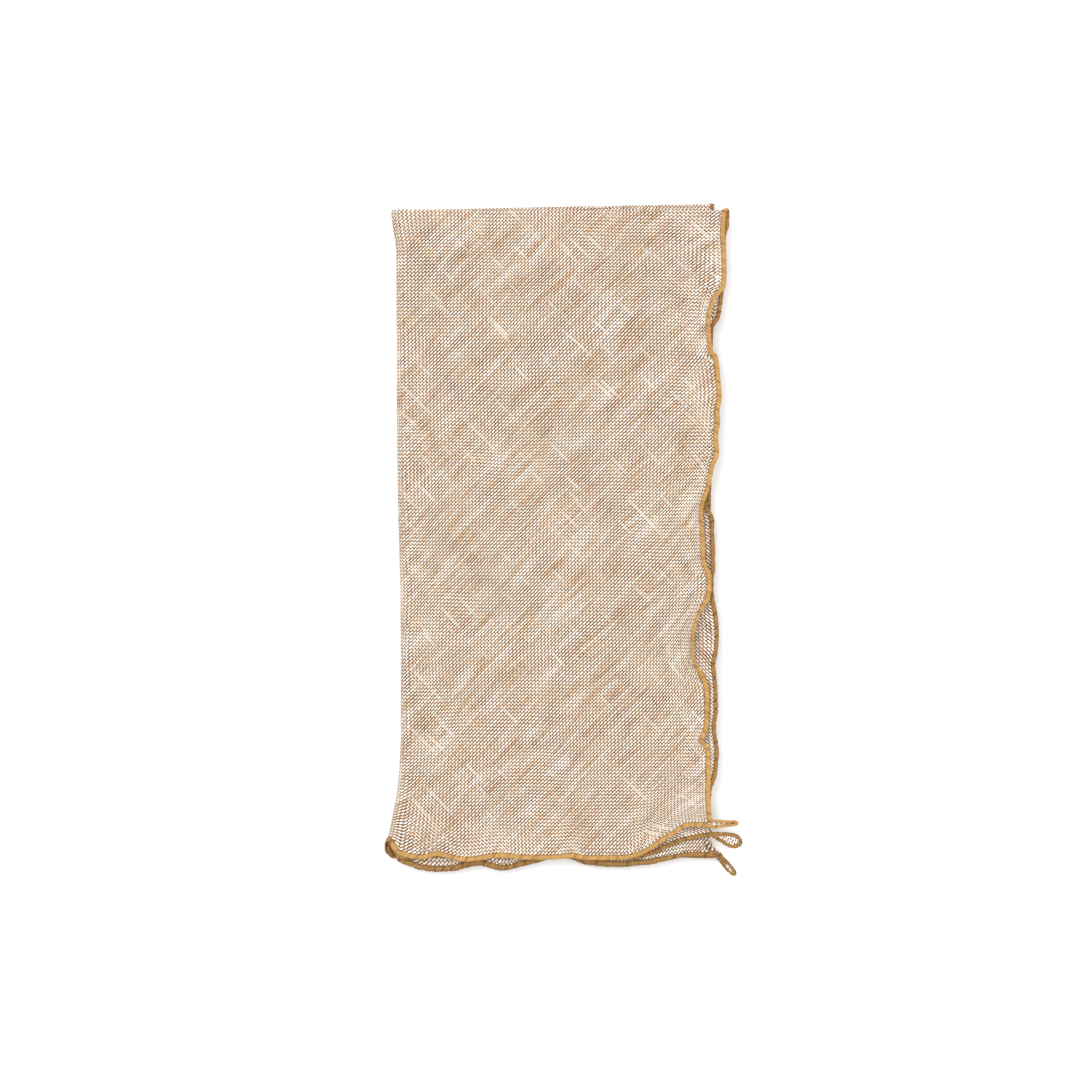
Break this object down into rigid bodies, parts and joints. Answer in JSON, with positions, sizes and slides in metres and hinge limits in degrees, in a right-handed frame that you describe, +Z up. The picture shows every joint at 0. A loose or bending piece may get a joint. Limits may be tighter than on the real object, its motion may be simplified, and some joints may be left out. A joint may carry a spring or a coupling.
{
  "type": "folded cloth napkin",
  "caption": "Open-weave linen gauze napkin with a ruffled overlocked yarn edge, folded into a long rectangle with drawn-out corner tails.",
  "frame": {"origin": "middle of the box's base, on the surface that the napkin lies on", "axes": "+Z up through the layers; +Y along the napkin's length, towards its folded end; +X across it, towards the ruffled right edge and the corner tails"},
  "size_m": [0.1404, 0.2636, 0.0152],
  "materials": {
    "gauze": "open plain-weave linen gauze, matte, natural oatmeal, on the bias",
    "edging_yarn": "overlocked golden yarn with fine cross stitches"
  },
  "bodies": {
    "root": {"napkin_cloth": "gauze", "napkin_edging": "edging_yarn"}
  },
  "joints": []
}
